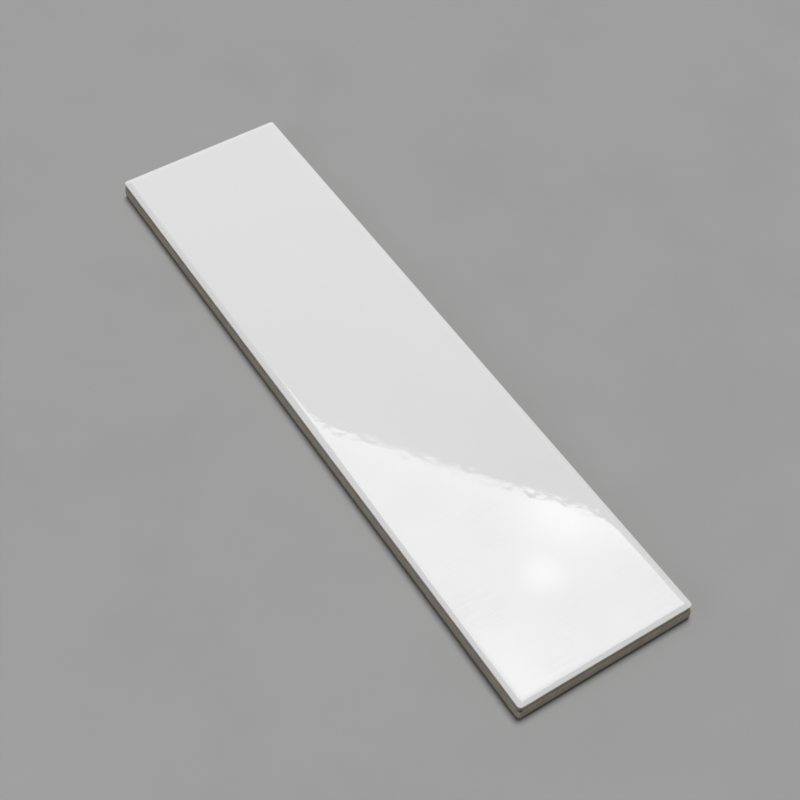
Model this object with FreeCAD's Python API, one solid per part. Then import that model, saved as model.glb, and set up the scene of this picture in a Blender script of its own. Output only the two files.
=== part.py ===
import FreeCAD, Part
import math
import os

# A dry-pressed subway wall tile, one fired piece, lying on its back with the glazed face up.
# Millimetres. X runs along the tile, Y across it and Z up from the back.
# The origin is under the middle of the tile, in the plane of the back.

# Overall size, over the widest line of the flank
tile_length = 300.0
tile_width = 75.0
tile_thickness = 9.0

# Corners of the outline seen from above: on the flank, and tighter still where the flat face begins
flank_corner_radius = 1.5
face_corner_radius = 0.8

# Glazed rim: the face bends over into a gentle bevel, which rolls down to the lip where the glaze ends
rim_width = 2.9
rim_slope = 20.0
rim_bend_radius = 4.3
lip_radius = 0.35
lip_land = 0.1
bend_steps = 3
roll_steps = 4

# Flank below the lip: a set-back neck, then the shoulder that the press tool leaves
lip_setback = 0.3
lip_underside_height = 0.15
neck_setback = 0.45
neck_height = 2.0
shoulder_height = 0.3

# Chamfer between the flank and the back
foot_setback = 1.2
foot_height = 1.6

# Keying pattern on the back: shallow square recesses with ribs standing between them
key_margin = 5.0
key_cell = 20.0
key_rib = 2.5
key_depth = 0.7
key_taper = 0.5
key_corner_radius = 2.0

# Directions, and the four quarters of an outline in the order they are drawn
quarter_turn = 90.0
quarters = ((1, 1), (-1, 1), (-1, -1), (1, -1))
origin = FreeCAD.Vector(0, 0, 0)
along = FreeCAD.Vector(1, 0, 0)
up = FreeCAD.Vector(0, 0, 1)


def start_of(edge):
    """Point where an edge starts."""
    return edge.valueAt(edge.FirstParameter)


def end_of(edge):
    """Point where an edge ends."""
    return edge.valueAt(edge.LastParameter)


def outline(setback, height, corner_radius=flank_corner_radius):
    """Round-cornered outline of the tile at a height, set back from its widest line."""
    reach_x = tile_length / 2 - setback - corner_radius
    reach_y = tile_width / 2 - setback - corner_radius
    arcs = []
    for turn, (side_x, side_y) in enumerate(quarters):
        centre = FreeCAD.Vector(side_x * reach_x, side_y * reach_y, height)
        start = quarter_turn * turn
        arcs.append(Part.makeCircle(corner_radius, centre, up, start, start + quarter_turn))
    edges = []
    for arc, following in zip(arcs, arcs[1:] + arcs[:1]):
        edges.append(arc)
        edges.append(Part.makeLine(end_of(arc), start_of(following)))
    return Part.Wire(edges)


def rim_outline(setback, height):
    """Outline on the rim: its corners go from the flank's radius at the lip to the face's radius."""
    share = (setback - lip_setback) / rim_width
    corner_radius = flank_corner_radius + (face_corner_radius - flank_corner_radius) * share
    return outline(setback, height, corner_radius)


def bend_outlines():
    """Outlines up the bend, from the top of the bevel to the flat face."""
    slope = math.radians(rim_slope)
    outlines = []
    for step in range(bend_steps + 1):
        angle = slope * (1 - step / bend_steps)
        setback = lip_setback + rim_width - rim_bend_radius * math.sin(angle)
        height = tile_thickness - rim_bend_radius * (1 - math.cos(angle))
        outlines.append(rim_outline(setback, height))
    return outlines


def rim_corner_height():
    """Height at which the bevel would meet the lip if nothing were rolled over."""
    slope = math.radians(rim_slope)
    bend_width = rim_bend_radius * math.sin(slope)
    bend_drop = rim_bend_radius * (1 - math.cos(slope))
    return tile_thickness - bend_drop - (rim_width - bend_width) * math.tan(slope)


def roll_centre_height():
    """Height of the lip's roll above the back, at its centre."""
    return rim_corner_height() - lip_radius * math.tan(math.radians(quarter_turn - rim_slope) / 2)


def roll_outlines():
    """Outlines up the roll, from the lip's upright land to the bottom of the bevel."""
    sweep = math.radians(quarter_turn - rim_slope)
    outlines = []
    for step in range(roll_steps + 1):
        angle = sweep * step / roll_steps
        setback = lip_setback + lip_radius * (1 - math.cos(angle))
        height = roll_centre_height() + lip_radius * math.sin(angle)
        outlines.append(rim_outline(setback, height))
    return outlines


def flank_outlines():
    """Outlines up the unglazed side: foot, straight wall, shoulder, neck and the underside of the lip."""
    land_base = roll_centre_height() - lip_land
    neck_top = land_base - lip_underside_height
    shoulder_top = neck_top - neck_height
    return [
        outline(foot_setback, 0),
        outline(0, foot_height),
        outline(0, shoulder_top - shoulder_height),
        outline(neck_setback, shoulder_top),
        outline(neck_setback, neck_top),
        outline(lip_setback, land_base),
    ]


def key_recess():
    """One recess of the back, a square with tapered walls and round corners."""
    mouth = key_cell / 2
    narrow = mouth - key_taper
    block = Part.makeWedge(-mouth, 0, -mouth, -narrow, -narrow, mouth, key_depth, mouth, narrow, narrow)
    block.rotate(origin, along, quarter_turn)
    corners = [edge for edge in block.Edges if edge.BoundBox.ZLength > key_depth / 2]
    return block.makeFillet(key_corner_radius, corners)


def centred_places(extent):
    """Places of the recesses that fit between the plain margins, evenly about the middle."""
    pitch = key_cell + key_rib
    count = int((extent - 2 * key_margin + key_rib) // pitch)
    return [pitch * (place - (count - 1) / 2) for place in range(count)]


def back_pattern():
    """All the recesses of the back, in rows and columns."""
    recess = key_recess()
    recesses = []
    for x in centred_places(tile_length):
        for y in centred_places(tile_width):
            recesses.append(recess.translated(FreeCAD.Vector(x, y, 0)))
    return Part.makeCompound(recesses)


def plain_tile():
    """The tile with a plain back: straight walls up to the bevel's top, then the smooth bend to the face."""
    bend = bend_outlines()
    rising = flank_outlines() + roll_outlines() + bend[:1]
    faces = Part.makeShellFromWires(rising).Faces + Part.makeLoft(bend, False, False).Faces
    faces.append(Part.Face(rising[0]))
    faces.append(Part.Face(bend[-1]))
    shell = Part.makeShell(faces)
    shell.sewShape()
    return Part.makeSolid(shell)


def wall_tile():
    """The whole tile as one solid, with the recesses let into its back."""
    return plain_tile().cut(back_pattern()).Solids[0]


os.makedirs("parts", exist_ok=True)
wall_tile().exportStep("parts/wall_tile.step")
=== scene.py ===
import math

import bpy
import numpy as np
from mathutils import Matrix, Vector
from mathutils.geometry import delaunay_2d_cdt


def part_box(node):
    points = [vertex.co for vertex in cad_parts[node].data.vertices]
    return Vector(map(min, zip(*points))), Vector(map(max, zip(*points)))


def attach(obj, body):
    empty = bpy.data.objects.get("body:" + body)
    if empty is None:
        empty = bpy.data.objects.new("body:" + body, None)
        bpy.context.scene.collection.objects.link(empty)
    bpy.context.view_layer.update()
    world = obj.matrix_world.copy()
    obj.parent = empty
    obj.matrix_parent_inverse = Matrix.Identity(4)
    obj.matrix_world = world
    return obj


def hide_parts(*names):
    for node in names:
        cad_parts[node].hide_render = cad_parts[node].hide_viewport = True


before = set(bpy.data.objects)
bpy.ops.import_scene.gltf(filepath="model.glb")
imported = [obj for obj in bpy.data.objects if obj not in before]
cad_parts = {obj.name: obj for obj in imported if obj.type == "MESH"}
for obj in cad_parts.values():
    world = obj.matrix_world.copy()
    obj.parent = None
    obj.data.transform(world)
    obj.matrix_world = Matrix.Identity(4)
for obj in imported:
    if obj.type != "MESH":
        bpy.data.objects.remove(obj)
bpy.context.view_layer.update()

# A subway wall tile lying on its back: gloss white glaze over a warm grey biscuit.
# Metres, in the frame of the solid: X along the tile, Y across it, Z up from the back.
MM = 0.001
NODE = "wall_tile"
low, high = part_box(NODE)
LENGTH, WIDTH, THICKNESS = high - low
EXTENT = np.array([LENGTH, WIDTH])

# Section of the tile, as the solid has it
LIP_SETBACK = 0.3 * MM
RIM_WIDTH = 2.9 * MM
RIM_SLOPE = math.radians(20)
RIM_BEND_RADIUS = 4.3 * MM
LIP_RADIUS = 0.35 * MM
LIP_LAND = 0.1 * MM
FLANK_CORNER = 1.5 * MM
FACE_CORNER = 0.8 * MM
LIP_UNDERSIDE = 0.15 * MM
NECK_SETBACK = 0.45 * MM
NECK_HEIGHT = 2.0 * MM
SHOULDER_HEIGHT = 0.3 * MM
FOOT_SETBACK = 1.2 * MM
FOOT_HEIGHT = 1.6 * MM

# Keying recesses of the back, as the solid has them
KEY_MARGIN = 5.0 * MM
KEY_CELL = 20.0 * MM
KEY_RIB = 2.5 * MM
KEY_DEPTH = 0.7 * MM
KEY_TAPER = 0.5 * MM
KEY_CORNER = 2.0 * MM

# What follows from the section: the bend, the rim's fall, the roll of the lip and the glaze's edge.
# The glaze thins out from the level of the full glaze down to the glaze line.
BEND_WIDTH = RIM_BEND_RADIUS * math.sin(RIM_SLOPE)
BEND_DROP = RIM_BEND_RADIUS * (1 - math.cos(RIM_SLOPE))
RIM_DROP = BEND_DROP + (RIM_WIDTH - BEND_WIDTH) * math.tan(RIM_SLOPE)
ROLL_SWEEP = math.pi / 2 - RIM_SLOPE
ROLL_LEVEL = THICKNESS - RIM_DROP - LIP_RADIUS * math.tan(ROLL_SWEEP / 2)
FULL_GLAZE = ROLL_LEVEL + LIP_RADIUS
GLAZE_LINE = ROLL_LEVEL - LIP_LAND - LIP_UNDERSIDE
EDGE_SETBACK = LIP_SETBACK + LIP_RADIUS * (1 - math.cos(ROLL_SWEEP))

# Form of the glaze: the face sinks a little towards the bend, and the glaze ends in an uneven line
CROWN_SLOPE = 0.015
CROWN_REACH = 0.7 * MM
GLAZE_LINE_SLOPE = 0.04
GLAZE_LINE_REACH = 0.25 * MM

# Small radii of the fired edges below the lip, and the plain border of the back
LIP_FILLET = 0.07 * MM
NECK_FILLET = 0.2 * MM
SHOULDER_FILLET = 0.15 * MM
FOOT_FILLET = 0.25 * MM
BACK_BORDER = 0.6 * MM

# Waves left in the fired glaze, and the unevenness of the pressed biscuit
RIPPLE_COUNT = 70
RIPPLE_SHORTEST = 2.4 * MM
RIPPLE_LONGEST = 7.0 * MM
RIPPLE_SLOPE = 0.0020
BISCUIT_COUNT = 40
BISCUIT_SHORTEST = 1.6 * MM
BISCUIT_LONGEST = 12.0 * MM
BISCUIT_SLOPE = 0.02
RANDOM_SEED = 7

# A small chip in the biscuit under the glaze of the near left corner, its hollow darkened with
# painted shade
CHIP_PLACE = (LENGTH / 2 - 0.35 * MM, -WIDTH / 2 + 0.9 * MM, 5.8 * MM)
CHIP_SIZE = 0.85 * MM
CHIP_DEPTH = 0.4 * MM
# Reach and colour of the painted shade in the chip
CHIP_SHADE_FADE = (0.4 * CHIP_SIZE, 1.1 * CHIP_SIZE)
CHIP_PAINTED_SHADE = (0.13, 0.115, 0.10)

# Fineness of the mesh
RIM_ROWS = 14
RIM_ZONE = 4.0 * MM
FACE_PITCH = 0.85 * MM
CORNER_FADE = 10.0 * MM
SMALLEST_RADIUS = 0.02 * MM
FLANK_PITCH = 0.8 * MM
FILLET_STEPS = 3
ROLL_STEPS = 4
KEY_CORNER_STEPS = 5
SHARP_ANGLE = math.radians(35)
SAME_PLACE = 1e-7
# Kind of triangulation that fills the inside of the outlines
FILL_INSIDE = 1

# Texture map of the skin: the face, the back, the two long sides and the two short sides, in rows
MAP_NAME = "OFBake"
MAP_SIDE = 310.0 * MM
MAP_GAP = 5.0 * MM
STRIP_HEIGHT = 16.0 * MM

# The two materials of the skin, by number
GLAZE, BISCUIT = 0, 1

# Noises below are given as cells to the metre, levels of finer detail and the weight of each level.
# Noise that is drawn out into lines gets its cells along each axis from the stretched place instead.
LINE_NOISE = (1.0, 2.0, 0.5)

# Glaze: its whites by the clouds in it, its colour where it is thin at the lip, gloss and bumps
GLAZE_CLOUDS = (35.0, 3.0, 0.5)
GLAZE_STOPS = ((0.3, (0.780, 0.781, 0.781)), (0.7, (0.792, 0.792, 0.792)))
THIN_GLAZE = (0.60, 0.57, 0.52)
GLAZE_ROUGHNESS = 0.028
GLAZE_IOR = 1.6
GLAZE_BUMPS = (450.0, 4.0, 0.5)
GLAZE_BUMP_HEIGHT = 0.007 * MM
# Faint lines across the tile among the bumps: cells along each axis, and their share
DRAW_CELLS = (900.0, 40.0, 40.0)
DRAW_SHARE = 0.25
# Wipe marks on the near part of the face: where they set in, their lines, their patches and colour
WIPED_ZONE = (50.0 * MM, 110.0 * MM)
WIPE_CELLS = (1600.0, 70.0, 70.0)
WIPE_LINE_RANGE = (0.4, 0.65)
WIPE_PATCHES = (45.0, 2.0, 0.5)
WIPE_PATCH_RANGE = (0.42, 0.62)
WIPED_WHITE = (0.752, 0.752, 0.752)
# Pinholes: cells to the metre, radius in cells, the share of the cells that have one, and colour
PINHOLE_CELLS = 60.0
PINHOLE_RANGE = (0.008, 0.02)
PINHOLE_SHARE = 0.12
PINHOLE_COLOUR = (0.35, 0.34, 0.32)

# Biscuit: its colours by its clouds, and how its grain darkens and lightens them
CLAY_CLOUDS = (180.0, 4.0, 0.6)
CLAY_STOPS = (
    (0.25, (0.42, 0.375, 0.30)),
    (0.55, (0.49, 0.44, 0.36)),
    (0.8, (0.54, 0.49, 0.41)),
)
CLAY_GRAIN = (2600.0, 3.0, 0.65)
SPECK_STOPS = (
    (0.30, (0.62, 0.60, 0.57)),
    (0.42, (1, 1, 1)),
    (0.66, (1, 1, 1)),
    (0.75, (1.2, 1.2, 1.2)),
)
# Its roughness along a range of the grain, and its pits
CLAY_ROUGHNESS = (0.95, 0.8)
CLAY_ROUGHNESS_GRAIN = (0.3, 0.7)
CLAY_IOR = 1.5
CLAY_PITS = (1400.0, 4.0, 0.7)
CLAY_PIT_DEPTH = 0.06 * MM
# Its upright corners, with a painted highlight along them: how far their two setbacks differ and add
# up to, how much of the highlight shows along a range of the grain, and its colour
CORNER_HIGHLIGHT_BREADTH = (0.1 * MM, 0.5 * MM)
CORNER_HIGHLIGHT_REACH = (2.0 * MM, 2.4 * MM)
CORNER_HIGHLIGHT_SHARE = (0.4, 1.0)
CORNER_HIGHLIGHT_GRAIN = (0.35, 0.55)
CORNER_HIGHLIGHT_COLOUR = (0.62, 0.59, 0.53)

# Camera: level, at the angle of the photograph
CAMERA_PLACE = (0.32156, -0.19360, 0.46422)
CAMERA_AIM = (0.01836, -0.00085, 0.00950)
CAMERA_LENS = 67.531
CAMERA_SENSOR = 36.0

# Studio: a large softbox overhead, which the glaze mirrors, a broad lamp, a weak fill and a dim room.
# Softbox: height over the face, turn, reaches, radiance in the glaze, and the share elsewhere
SOFTBOX_HEIGHT = 1.2
SOFTBOX_TURN = math.radians(35.8)
SOFTBOX_X = (-0.56, 0.58)
SOFTBOX_Y = (-0.05, 0.788)
SOFTBOX_RADIANCE = 3.25
SOFTBOX_FILL = 0.15
# Brighter places in the softbox: x, y, reach, added radiance
SOFTBOX_LAMPS = (
    (-0.06, 0.60, 0.32, 0.25),
    (-0.06, 0.78, 0.12, 1.45),
    (-0.058, 0.672, 0.045, 1.7),
    (-0.04, 0.50, 0.14, 0.9),
)
# Its brighter border: reach and added radiance
BORDER_REACH = 0.06
BORDER_RADIANCE = 0.5
# Clouds in its cloth: noise, the range that is used, and what they do to the radiance
CLOTH_CLOUDS = (18.0, 4.0, 0.6)
CLOTH_NOISE_RANGE = (0.35, 0.65)
CLOTH_CLOUD_RANGE = (0.95, 1.05)
# Lamps, which the glaze doesn't mirror
LAMP_DIRECTION = (-0.125, 0.16, 1.0)
LAMP_SPREAD = math.radians(22)
LAMP_STRENGTH = 2.2
FILL_PLACE = (-0.2, -1.4, 0.95)
FILL_SIZE = 1.0
FILL_POWER = 2.6
# Room: its bright side in the glaze, how near to it the light sets in, levels there and in general
ROOM_LIGHT_SIDE = (-0.8, 0.45, 0.4)
ROOM_REACH = 0.72
ROOM_DIM = 0.1
ROOM_BRIGHT = 1.38
ROOM_AMBIENT = 0.112
# Pale walls round the other sides of the room: where they end, upwards and towards the bright side
WALL_TOP = (0.28, 0.62)
WALL_END = (0.5, 0.8)
WALL_RADIANCE = 0.9
# What the camera sees past the floor, and the floor: its side, greys by its mottling, and gloss
BACKDROP = (0.29, 0.29, 0.29, 1)
FLOOR_SIZE = 60.0
FLOOR_MOTTLE = (14.0, 5.0, 0.6)
FLOOR_STOPS = ((0.3, (0.369, 0.369, 0.369)), (0.7, (0.389, 0.389, 0.389)))
FLOOR_ROUGHNESS = 0.85
FLOOR_SPECULAR = 0.2

# Shares that rise or fall over a range
RISING = (0.0, 1.0)
FALLING = (1.0, 0.0)
WHITE = (1, 1, 1, 1)

# Sockets of a node that mixes colours, by number, because others there have the same names
MIX_SHARE = 0
MIX_BELOW = 6
MIX_ABOVE = 7
MIX_RESULT = 2


def waves(points, count, shortest, longest, seed):
    """Heights of smooth random waves at some points, with a slope of about one everywhere."""
    draw = np.random.default_rng(seed)
    lengths = shortest * (longest / shortest) ** draw.random(count)
    directions = draw.normal(size=(count, points.shape[1]))
    directions /= np.linalg.norm(directions, axis=1)[:, None]
    phases = draw.uniform(0, 2 * math.pi, count)
    total = np.zeros(len(points))
    for length, direction, phase in zip(lengths, directions, phases):
        total += length * np.sin(points @ direction * (2 * math.pi / length) + phase)
    return total / (2 * math.pi) * math.sqrt(2 / count)


def stations(extent):
    """Distances from one edge of the outline to the other: close over the rims, even between them."""
    rim = np.linspace(EDGE_SETBACK, LIP_SETBACK + RIM_ZONE, RIM_ROWS + 1)
    steps = math.ceil((extent - 2 * rim[-1]) / FACE_PITCH)
    face = np.linspace(rim[-1], extent - rim[-1], steps + 1)
    return np.concatenate([rim[:-1], face, extent - rim[-2::-1]])


def placed(inset, side, radius):
    """Plan places of points set back from the outline's edges, with rounded corners to each ring."""
    ring = inset.min(1)
    from_corner = np.abs(inset[:, 0] - inset[:, 1])
    angle = math.pi / 4 * (1 - np.minimum(from_corner / radius, 1))
    along = np.where(from_corner < radius, ring + radius * (1 - np.sin(angle)), inset.max(1))
    across = ring + radius * (1 - np.cos(angle))
    beside_y = inset[:, 0] > inset[:, 1]
    rounded = np.stack([np.where(beside_y, along, across), np.where(beside_y, across, along)], 1)
    return side * (EXTENT / 2 - rounded)


def face_height(ring):
    """Height of the glazed face at a distance from the outline: bevel, bend, then a slight crown."""
    outward = LIP_SETBACK + RIM_WIDTH - ring
    in_bend = np.clip(outward, RIM_BEND_RADIUS * CROWN_SLOPE, BEND_WIDTH)
    drop = RIM_BEND_RADIUS - np.sqrt(RIM_BEND_RADIUS ** 2 - in_bend ** 2)
    drop += np.clip(outward - BEND_WIDTH, 0, None) * math.tan(RIM_SLOPE)
    inward = np.clip(RIM_BEND_RADIUS * CROWN_SLOPE - outward, 0, None)
    return THICKNESS - drop - CROWN_SLOPE * CROWN_REACH * np.exp(-inward / CROWN_REACH)


def face_corner(ring):
    """Corner radius of a ring of the face: it changes over the rim and fades out further in."""
    inward = ring - LIP_SETBACK
    over_rim = FLANK_CORNER + (FACE_CORNER - FLANK_CORNER) * np.clip(inward / RIM_WIDTH, 0, 1)
    fading = np.clip(1 - (inward - RIM_WIDTH) / CORNER_FADE, 0, 1)
    return np.maximum(over_rim * fading, SMALLEST_RADIUS)


def rounded_section(corners):
    """Points down a section whose corners, given as setback, height and fillet, are rounded off.

    A fillet takes up at most half of each side next to it.
    """
    spots = [np.array(corner[:2]) for corner in corners]
    path = [spots[0]]
    for before, spot, after, corner in zip(spots, spots[1:], spots[2:], corners[1:]):
        start = spot + (before - spot) * min(0.5, corner[2] / np.linalg.norm(before - spot))
        end = spot + (after - spot) * min(0.5, corner[2] / np.linalg.norm(after - spot))
        for share in np.linspace(0, 1, FILLET_STEPS + 1):
            rest = 1 - share
            path.append(start * rest ** 2 + spot * 2 * share * rest + end * share ** 2)
    path.append(spots[-1])
    fine = [path[0]]
    for start, end in zip(path, path[1:]):
        run = np.linalg.norm(end - start)
        if run > SAME_PLACE:
            steps = math.ceil(run / FLANK_PITCH)
            fine.extend(start + (end - start) * step / steps for step in range(1, steps + 1))
    return np.array(fine)


def flank_section():
    """Setback and height from the bevel to the back: roll, lip, neck, shoulder, wall and foot."""
    roll = []
    for angle in np.linspace(ROLL_SWEEP, 0, ROLL_STEPS + 1):
        setback = LIP_SETBACK + LIP_RADIUS * (1 - math.cos(angle))
        roll.append((setback, ROLL_LEVEL + LIP_RADIUS * math.sin(angle)))
    shoulder_top = GLAZE_LINE - NECK_HEIGHT
    below = rounded_section([
        (LIP_SETBACK, ROLL_LEVEL, 0),
        (LIP_SETBACK, ROLL_LEVEL - LIP_LAND, LIP_FILLET),
        (NECK_SETBACK, GLAZE_LINE, LIP_FILLET),
        (NECK_SETBACK, shoulder_top, NECK_FILLET),
        (0, shoulder_top - SHOULDER_HEIGHT, SHOULDER_FILLET),
        (0, FOOT_HEIGHT, FOOT_FILLET),
        (FOOT_SETBACK, 0, FOOT_FILLET),
        (FOOT_SETBACK + BACK_BORDER, 0, 0),
    ])
    return np.concatenate([roll, below[1:]])


class Skin:
    """Points, faces, materials and map places of a mesh, gathered part by part."""

    def __init__(self):
        self.points = []
        self.faces = []
        self.materials = []
        self.map_places = []

    def add_points(self, points):
        """Adds points and returns their numbers."""
        first = len(self.points)
        self.points.extend(map(tuple, points))
        return np.arange(first, len(self.points))

    def add_faces(self, faces, material, map_places):
        """Adds faces of one material, with a place on the map, in metres, for each corner."""
        self.faces.extend(tuple(map(int, face)) for face in faces)
        self.materials.extend([material] * len(faces))
        self.map_places.append(np.reshape(map_places, (-1, 2)) / MAP_SIDE)

    def mesh(self, name):
        """The gathered parts as a smooth-shaded mesh."""
        made = bpy.data.meshes.new(name)
        made.from_pydata(self.points, [], self.faces)
        made.polygons.foreach_set("material_index", self.materials)
        layer = made.uv_layers.new(name=MAP_NAME)
        layer.uv.foreach_set("vector", np.concatenate(self.map_places).astype(np.float32).ravel())
        made.shade_smooth()
        made.set_sharp_from_angle(angle=SHARP_ANGLE)
        return made


def add_face(skin):
    """Adds the glazed face with its rims. Returns its outer loop by sides, with insets and signs."""
    grid = np.stack(np.meshgrid(stations(LENGTH), stations(WIDTH), indexing="ij"), 2)
    shape = grid.shape[:2]
    grid = grid.reshape(-1, 2)
    side = np.where(grid < EXTENT / 2, -1.0, 1.0)
    inset = np.minimum(grid, EXTENT - grid)
    ring = inset.min(1)
    plan = placed(inset, side, face_corner(ring))
    ripple = waves(plan, RIPPLE_COUNT, RIPPLE_SHORTEST, RIPPLE_LONGEST, RANDOM_SEED)
    height = face_height(ring) + RIPPLE_SLOPE * ripple
    numbers = skin.add_points(np.column_stack([plan, height])).reshape(shape)
    quads = np.stack([numbers[:-1, :-1], numbers[1:, :-1], numbers[1:, 1:], numbers[:-1, 1:]], 2)
    quads = quads.reshape(-1, 4)
    skin.add_faces(quads, GLAZE, plan[quads] + EXTENT / 2 + MAP_GAP)
    loop_sides = [numbers[:-1, 0], numbers[-1, :-1], numbers[:0:-1, -1], numbers[0, :0:-1]]
    loop = np.concatenate(loop_sides)
    return loop_sides, inset[loop], side[loop]


def flank_row(setback, height, inset, side):
    """Points of one ring of the flank, with the biscuit's unevenness and the chip in it."""
    spots = np.column_stack([placed(inset, side, FLANK_CORNER), np.full(len(inset), height)])
    relief = waves(spots, BISCUIT_COUNT, BISCUIT_SHORTEST, BISCUIT_LONGEST, RANDOM_SEED + 1)
    from_chip = np.linalg.norm((spots - np.array(CHIP_PLACE)) / CHIP_SIZE, axis=1)
    bared = np.clip((FULL_GLAZE - height) / (FULL_GLAZE - GLAZE_LINE), 0, 1)
    depth = setback - EDGE_SETBACK + bared * BISCUIT_SLOPE * relief
    depth += CHIP_DEPTH * np.exp(-from_chip ** 2)
    by_edge = np.clip(1 - (inset - EDGE_SETBACK) / CORNER_FADE, 0, 1)
    by_glaze_line = np.clip(1 - abs(height - GLAZE_LINE) / GLAZE_LINE_REACH, 0, 1)
    plan = placed(inset + depth[:, None] * by_edge, side, FLANK_CORNER)
    return np.column_stack([plan, height + GLAZE_LINE_SLOPE * by_glaze_line * relief])


def strip_places(skin, loop_sides):
    """Where each stretch of the loop starts and ends on the map, in the four strips of the flank."""
    loop = np.array(skin.points)[np.concatenate(loop_sides)]
    stretches = np.linalg.norm(np.roll(loop, -1, axis=0) - loop, axis=1)
    long_row = 2 * WIDTH + 3 * MAP_GAP
    pitch = STRIP_HEIGHT + MAP_GAP
    origins = [
        (MAP_GAP, long_row),
        (MAP_GAP, long_row + 2 * pitch),
        (MAP_GAP, long_row + pitch),
        (WIDTH + 2 * MAP_GAP, long_row + 2 * pitch),
    ]
    starts = []
    first = 0
    for numbers, origin in zip(loop_sides, origins):
        own = stretches[first:first + len(numbers)]
        first += len(numbers)
        begin = np.concatenate([[0], np.cumsum(own)[:-1]])
        starts.append(np.column_stack([origin[0] + begin, np.full(len(own), origin[1])]))
    starts = np.concatenate(starts)
    return starts, starts + np.column_stack([stretches, np.zeros(len(stretches))])


def add_flank(skin, loop_sides, inset, side):
    """Adds the flank below the face's outer loop. Returns the lowest ring's point numbers."""
    section = flank_section()
    falls = np.concatenate([[0], np.cumsum(np.linalg.norm(np.diff(section, axis=0), axis=1))])
    starts, ends = strip_places(skin, loop_sides)
    upper = np.concatenate(loop_sides)
    for (setback, height), fall_before, fall in zip(section[1:], falls, falls[1:]):
        lower = skin.add_points(flank_row(setback, height, inset, side))
        quads = np.stack([upper, lower, np.roll(lower, -1), np.roll(upper, -1)], 1)
        above = np.array([0, fall_before])
        below = np.array([0, fall])
        corners = np.stack([starts + above, starts + below, ends + below, ends + above], 1)
        skin.add_faces(quads, GLAZE if height > GLAZE_LINE else BISCUIT, corners)
        upper = lower
    return upper


def key_places(extent):
    """Centres of the keying recesses that fit between the plain margins of the back."""
    pitch = KEY_CELL + KEY_RIB
    count = int((extent - 2 * KEY_MARGIN + KEY_RIB) / pitch)
    return [pitch * (place - (count - 1) / 2) for place in range(count)]


def key_outline(centre, reach, radius):
    """Plan points of a round-cornered square about a recess's centre."""
    points = []
    for quarter, side in enumerate(((1, 1), (-1, 1), (-1, -1), (1, -1))):
        pivot = np.array(centre) + np.array(side) * (reach - radius)
        for step in range(KEY_CORNER_STEPS + 1):
            angle = math.pi / 2 * (quarter + step / KEY_CORNER_STEPS)
            points.append(pivot + radius * np.array([math.cos(angle), math.sin(angle)]))
    return points


def add_back(skin, ring):
    """Closes the back inside its lowest ring, with the keying recesses let into it."""
    outlines = [(np.array(skin.points)[ring, :2], 0.0)]
    for x in key_places(LENGTH):
        for y in key_places(WIDTH):
            outlines.append((key_outline((x, y), KEY_CELL / 2, KEY_CORNER), 0.0))
            floor = key_outline((x, y), KEY_CELL / 2 - KEY_TAPER, KEY_CORNER - KEY_TAPER)
            outlines.append((floor, KEY_DEPTH))
    plan = []
    edges = []
    numbers = list(ring)
    for outline, height in outlines:
        first = len(plan)
        count = len(outline)
        plan.extend(Vector(spot) for spot in outline)
        edges.extend((first + place, first + (place + 1) % count) for place in range(count))
        if first:
            numbers.extend(skin.add_points([(x, y, height) for x, y in outline]))
    _, _, triangles, sources, _, _ = delaunay_2d_cdt(plan, edges, [], FILL_INSIDE, SAME_PLACE)
    own = [[sources[corner][0] for corner in reversed(triangle)] for triangle in triangles]
    flat = np.array(plan)
    places = flat[np.array(own)] + EXTENT / 2 + np.array([MAP_GAP, WIDTH + 2 * MAP_GAP])
    faces = [[numbers[corner] for corner in triangle] for triangle in own]
    skin.add_faces(faces, BISCUIT, places)


def node(tree, kind, inputs=None, **settings):
    """A new node with its settings and inputs. An input is a value or another node's socket."""
    made = tree.nodes.new(kind)
    for name, value in settings.items():
        setattr(made, name, value)
    for name, value in (inputs or {}).items():
        if isinstance(value, bpy.types.NodeSocket):
            tree.links.new(value, made.inputs[name])
        else:
            made.inputs[name].default_value = value
    return made


def ramp(tree, factor, stops):
    """Colours along a factor, from stops of position and colour."""
    made = node(tree, "ShaderNodeValToRGB", {"Fac": factor})
    elements = made.color_ramp.elements
    for element, (position, colour) in zip(elements, (stops[0], stops[-1])):
        element.position = position
        element.color = (*colour, 1)
    for position, colour in stops[1:-1]:
        elements.new(position).color = (*colour, 1)
    return made.outputs["Color"]


def noise(tree, place, scale, detail, roughness):
    """Noise by a place, with its cells to the metre, levels of finer detail and their weight."""
    made = node(tree, "ShaderNodeTexNoise", {
        "Vector": place, "Scale": scale, "Detail": detail, "Roughness": roughness})
    return made.outputs["Fac"]


def lines(tree, place, cells):
    """Noise drawn out into lines, at its own number of cells to the metre along each axis."""
    stretched = node(tree, "ShaderNodeVectorMath", {0: place, 1: cells}, operation="MULTIPLY")
    return noise(tree, stretched.outputs[0], *LINE_NOISE)


def mapped(tree, value, source, target):
    """A value carried from one range to another, smoothly and without going past its ends."""
    made = node(tree, "ShaderNodeMapRange", {
        "Value": value, "From Min": source[0], "From Max": source[1],
        "To Min": target[0], "To Max": target[1]}, interpolation_type="SMOOTHSTEP")
    return made.outputs["Result"]


def maths(tree, operation, first, second=0.0):
    """One operation on two values, or on one where it takes no second."""
    return node(tree, "ShaderNodeMath", {0: first, 1: second}, operation=operation).outputs[0]


def distance(tree, place, spot):
    """Distance of a place from a fixed spot."""
    made = node(tree, "ShaderNodeVectorMath", {0: place, 1: spot}, operation="DISTANCE")
    return made.outputs["Value"]


def mixed(tree, share, below, above):
    """A colour with a share of another, plain one over it."""
    made = node(tree, "ShaderNodeMix", {
        MIX_SHARE: share, MIX_BELOW: below, MIX_ABOVE: (*above, 1)}, data_type="RGBA")
    return made.outputs[MIX_RESULT]


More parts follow.
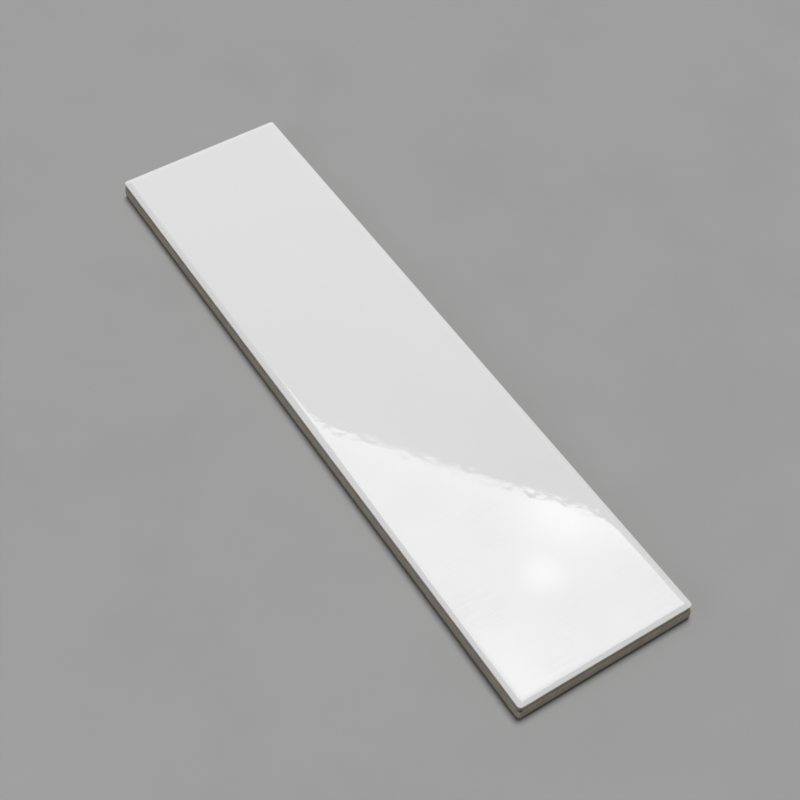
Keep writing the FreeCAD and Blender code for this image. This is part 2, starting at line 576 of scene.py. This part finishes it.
def multiplied(tree, below, above):
    """A colour multiplied by another."""
    made = node(tree, "ShaderNodeMix", {
        MIX_SHARE: 1.0, MIX_BELOW: below, MIX_ABOVE: above}, data_type="RGBA", blend_type="MULTIPLY")
    return made.outputs[MIX_RESULT]


def bumped(tree, pattern, height):
    """Surface direction bent by a pattern, in which one stands for a given height."""
    made = node(tree, "ShaderNodeBump", {"Strength": 1.0, "Distance": height, "Height": pattern})
    return made.outputs[0]


def new_material(name):
    """An empty node material, its tree, and the place on the object for its patterns."""
    made = bpy.data.materials.new(name)
    made.use_nodes = True
    made.node_tree.nodes.clear()
    place = node(made.node_tree, "ShaderNodeTexCoord").outputs["Object"]
    return made, made.node_tree, place


def finish_material(tree, shader):
    """Joins a shader to the material's output."""
    output = node(tree, "ShaderNodeOutputMaterial")
    tree.links.new(shader.outputs[0], output.inputs["Surface"])


def wipe_share(tree, place, along):
    """Share of the wipe marks in the glaze: fine lines, in patches, towards the near end."""
    zone = mapped(tree, along, WIPED_ZONE, RISING)
    patches = mapped(tree, noise(tree, place, *WIPE_PATCHES), WIPE_PATCH_RANGE, RISING)
    wipes = mapped(tree, lines(tree, place, WIPE_CELLS), WIPE_LINE_RANGE, RISING)
    return maths(tree, "MULTIPLY", zone, maths(tree, "MULTIPLY", patches, wipes))


def pinhole_share(tree, place):
    """One in the pinholes of the glaze, which lie in some of the cells of a pattern."""
    cells = node(tree, "ShaderNodeTexVoronoi", {"Vector": place, "Scale": PINHOLE_CELLS})
    chosen = node(tree, "ShaderNodeSeparateColor", {0: cells.outputs["Color"]}).outputs[0]
    hole = mapped(tree, cells.outputs["Distance"], PINHOLE_RANGE, FALLING)
    return maths(tree, "MULTIPLY", hole, maths(tree, "LESS_THAN", chosen, PINHOLE_SHARE))


def glaze_material():
    """Gloss white glaze: faint clouds, wipe marks, a thin darker edge at the lip, pinholes, bumps."""
    made, tree, place = new_material("white_glaze")
    spot = node(tree, "ShaderNodeSeparateXYZ", {0: place})
    colour = ramp(tree, noise(tree, place, *GLAZE_CLOUDS), GLAZE_STOPS)
    colour = mixed(tree, wipe_share(tree, place, spot.outputs["X"]), colour, WIPED_WHITE)
    thin = mapped(tree, spot.outputs["Z"], (GLAZE_LINE, FULL_GLAZE), FALLING)
    colour = mixed(tree, thin, colour, THIN_GLAZE)
    colour = mixed(tree, pinhole_share(tree, place), colour, PINHOLE_COLOUR)
    drawn = maths(tree, "MULTIPLY", lines(tree, place, DRAW_CELLS), DRAW_SHARE)
    bumps = maths(tree, "ADD", noise(tree, place, *GLAZE_BUMPS), drawn)
    shader = node(tree, "ShaderNodeBsdfPrincipled", {
        "Base Color": colour, "Roughness": GLAZE_ROUGHNESS, "IOR": GLAZE_IOR,
        "Normal": bumped(tree, bumps, GLAZE_BUMP_HEIGHT)})
    finish_material(tree, shader)
    return made


def corner_nearness(tree, place):
    """One on the middle of the four upright corners, falling to nothing beside them."""
    extents = node(tree, "ShaderNodeVectorMath", {0: place}, operation="ABSOLUTE")
    setbacks = node(tree, "ShaderNodeVectorMath", {
        0: (LENGTH / 2, WIDTH / 2, 0), 1: extents.outputs[0]}, operation="SUBTRACT")
    setback = node(tree, "ShaderNodeSeparateXYZ", {0: setbacks.outputs[0]})
    difference = maths(tree, "SUBTRACT", setback.outputs["X"], setback.outputs["Y"])
    total = maths(tree, "ADD", setback.outputs["X"], setback.outputs["Y"])
    in_middle = mapped(tree, maths(tree, "ABSOLUTE", difference), CORNER_HIGHLIGHT_BREADTH, FALLING)
    at_corner = mapped(tree, total, CORNER_HIGHLIGHT_REACH, FALLING)
    return maths(tree, "MULTIPLY", in_middle, at_corner)


def biscuit_material():
    """Bare fired clay: warm grey, grainy, with specks and fine pits, a painted highlight along the
    upright corners and painted shade in the chip.
    """
    made, tree, place = new_material("bare_biscuit")
    grain = noise(tree, place, *CLAY_GRAIN)
    clay = ramp(tree, noise(tree, place, *CLAY_CLOUDS), CLAY_STOPS)
    colour = multiplied(tree, clay, ramp(tree, grain, SPECK_STOPS))
    # Painted highlight: a lighter line along the middle of the upright corners, broken up by the
    # grain
    corner_highlight = mapped(tree, grain, CORNER_HIGHLIGHT_GRAIN, CORNER_HIGHLIGHT_SHARE)
    corner_highlight = maths(tree, "MULTIPLY", corner_highlight, corner_nearness(tree, place))
    colour = mixed(tree, corner_highlight, colour, CORNER_HIGHLIGHT_COLOUR)
    # Painted shade: the clay is darkened round the chip's hollow, where shade falls
    chip_shade = mapped(tree, distance(tree, place, CHIP_PLACE), CHIP_SHADE_FADE, FALLING)
    colour = mixed(tree, chip_shade, colour, CHIP_PAINTED_SHADE)
    pits = noise(tree, place, *CLAY_PITS)
    shader = node(tree, "ShaderNodeBsdfPrincipled", {
        "Base Color": colour, "Roughness": mapped(tree, grain, CLAY_ROUGHNESS_GRAIN, CLAY_ROUGHNESS),
        "IOR": CLAY_IOR, "Normal": bumped(tree, pits, CLAY_PIT_DEPTH)})
    finish_material(tree, shader)
    return made


def new_object(name, data):
    """A new object in the scene."""
    made = bpy.data.objects.new(name, data)
    bpy.context.scene.collection.objects.link(made)
    return made


def make_tile():
    """The tile, in place of its solid."""
    skin = Skin()
    loop_sides, inset, side = add_face(skin)
    add_back(skin, add_flank(skin, loop_sides, inset, side))
    tile = new_object("glazed_tile", skin.mesh("glazed_tile"))
    tile.data.materials.append(glaze_material())
    tile.data.materials.append(biscuit_material())
    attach(tile, "root")
    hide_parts(NODE)


def flat_card(name, reach_x, reach_y):
    """A flat card between two reaches in its own X and Y."""
    mesh = bpy.data.meshes.new(name)
    corners = [(x, y, 0) for y in reach_y for x in reach_x]
    mesh.from_pydata(corners, [], [(0, 1, 3, 2)])
    return new_object(name, mesh)


def make_floor():
    """Plain matt grey floor under the tile, faintly mottled."""
    half = (-FLOOR_SIZE / 2, FLOOR_SIZE / 2)
    floor = flat_card("floor", half, half)
    made, tree, place = new_material("grey_floor")
    colour = ramp(tree, noise(tree, place, *FLOOR_MOTTLE), FLOOR_STOPS)
    shader = node(tree, "ShaderNodeBsdfPrincipled", {
        "Base Color": colour, "Roughness": FLOOR_ROUGHNESS, "Specular IOR Level": FLOOR_SPECULAR})
    finish_material(tree, shader)
    floor.data.materials.append(made)


def border_distance(tree, place):
    """Distance of a place on the softbox from its nearest border."""
    spot = node(tree, "ShaderNodeSeparateXYZ", {0: place})
    nearest = None
    for axis, reach in (("X", SOFTBOX_X), ("Y", SOFTBOX_Y)):
        for inward in (maths(tree, "SUBTRACT", spot.outputs[axis], reach[0]),
                       maths(tree, "SUBTRACT", reach[1], spot.outputs[axis])):
            nearest = inward if nearest is None else maths(tree, "MINIMUM", nearest, inward)
    return nearest


def make_softbox():
    """Overhead softbox, brightest by its lamps. The glaze mirrors it, and it lights little else."""
    softbox = flat_card("softbox", SOFTBOX_X, SOFTBOX_Y)
    softbox.location.z = THICKNESS + SOFTBOX_HEIGHT
    softbox.rotation_euler.z = SOFTBOX_TURN
    softbox.visible_camera = False
    softbox.visible_shadow = False
    made, tree, place = new_material("softbox_cloth")
    from_border = border_distance(tree, place)
    strength = mapped(tree, from_border, (0.0, BORDER_REACH), (BORDER_RADIANCE, 0.0))
    strength = maths(tree, "ADD", strength, SOFTBOX_RADIANCE)
    for x, y, reach, added in SOFTBOX_LAMPS:
        glow = mapped(tree, distance(tree, place, (x, y, 0)), (0.0, reach), (added, 0.0))
        strength = maths(tree, "ADD", strength, glow)
    clouds = noise(tree, place, *CLOTH_CLOUDS)
    cloth = mapped(tree, clouds, CLOTH_NOISE_RANGE, CLOTH_CLOUD_RANGE)
    in_glaze = node(tree, "ShaderNodeLightPath").outputs["Is Glossy Ray"]
    share = mapped(tree, in_glaze, RISING, (SOFTBOX_FILL, 1.0))
    strength = maths(tree, "MULTIPLY", maths(tree, "MULTIPLY", strength, cloth), share)
    finish_material(tree, node(tree, "ShaderNodeEmission", {"Strength": strength}))
    softbox.data.materials.append(made)


def new_lamp(name, kind, direction, power):
    """A lamp that shines from a direction and isn't mirrored."""
    data = bpy.data.lights.new(name, kind)
    data.energy = power
    lamp = new_object(name, data)
    lamp.rotation_euler = Vector(direction).to_track_quat("Z", "Y").to_euler()
    lamp.visible_glossy = False
    return lamp


def make_lamps():
    """Broad lamp high overhead, for the short soft shadows, and a weak fill from the left."""
    overhead = new_lamp("overhead_lamp", "SUN", LAMP_DIRECTION, LAMP_STRENGTH)
    overhead.data.angle = LAMP_SPREAD
    fill = new_lamp("fill_lamp", "AREA", FILL_PLACE, FILL_POWER)
    fill.location = FILL_PLACE
    fill.data.size = FILL_SIZE


def mirrored_room(tree):
    """Level of the room in the glaze by direction: bright at the far right, pale walls elsewhere."""
    direction = node(tree, "ShaderNodeTexCoord").outputs["Generated"]
    facing = node(tree, "ShaderNodeVectorMath", {
        0: direction, 1: Vector(ROOM_LIGHT_SIDE).normalized()}, operation="DOT_PRODUCT")
    facing = facing.outputs["Value"]
    upward = node(tree, "ShaderNodeSeparateXYZ", {0: direction}).outputs["Z"]
    bright_side = mapped(tree, facing, (ROOM_REACH, 1.0), (ROOM_DIM, ROOM_BRIGHT))
    walls = maths(tree, "MULTIPLY", mapped(tree, upward, WALL_TOP, (WALL_RADIANCE, 0.0)),
                  mapped(tree, facing, WALL_END, FALLING))
    return maths(tree, "ADD", bright_side, walls)


def make_room():
    """Even dim room light. The glaze mirrors a brighter room, and the camera sees a plain grey."""
    world = bpy.data.worlds.new("room")
    bpy.context.scene.world = world
    world.use_nodes = True
    tree = world.node_tree
    tree.nodes.clear()
    light = node(tree, "ShaderNodeBackground", {"Color": WHITE, "Strength": ROOM_AMBIENT})
    mirror = node(tree, "ShaderNodeBackground", {"Color": WHITE, "Strength": mirrored_room(tree)})
    backdrop = node(tree, "ShaderNodeBackground", {"Color": BACKDROP, "Strength": 1.0})
    path = node(tree, "ShaderNodeLightPath")
    shown = node(tree, "ShaderNodeMixShader", {
        0: path.outputs["Is Glossy Ray"], 1: light.outputs[0], 2: mirror.outputs[0]})
    shown = node(tree, "ShaderNodeMixShader", {
        0: path.outputs["Is Camera Ray"], 1: shown.outputs[0], 2: backdrop.outputs[0]})
    output = node(tree, "ShaderNodeOutputWorld")
    tree.links.new(shown.outputs[0], output.inputs["Surface"])


def make_camera():
    """Camera at the photograph's angle."""
    data = bpy.data.cameras.new("camera")
    data.lens = CAMERA_LENS
    data.sensor_width = CAMERA_SENSOR
    camera = new_object("camera", data)
    camera.location = CAMERA_PLACE
    view = Vector(CAMERA_AIM) - Vector(CAMERA_PLACE)
    camera.rotation_euler = view.to_track_quat("-Z", "Y").to_euler()
    bpy.context.scene.camera = camera


make_tile()
make_floor()
make_softbox()
make_lamps()
make_room()
make_camera()
bpy.context.scene.view_settings.view_transform = "Standard"
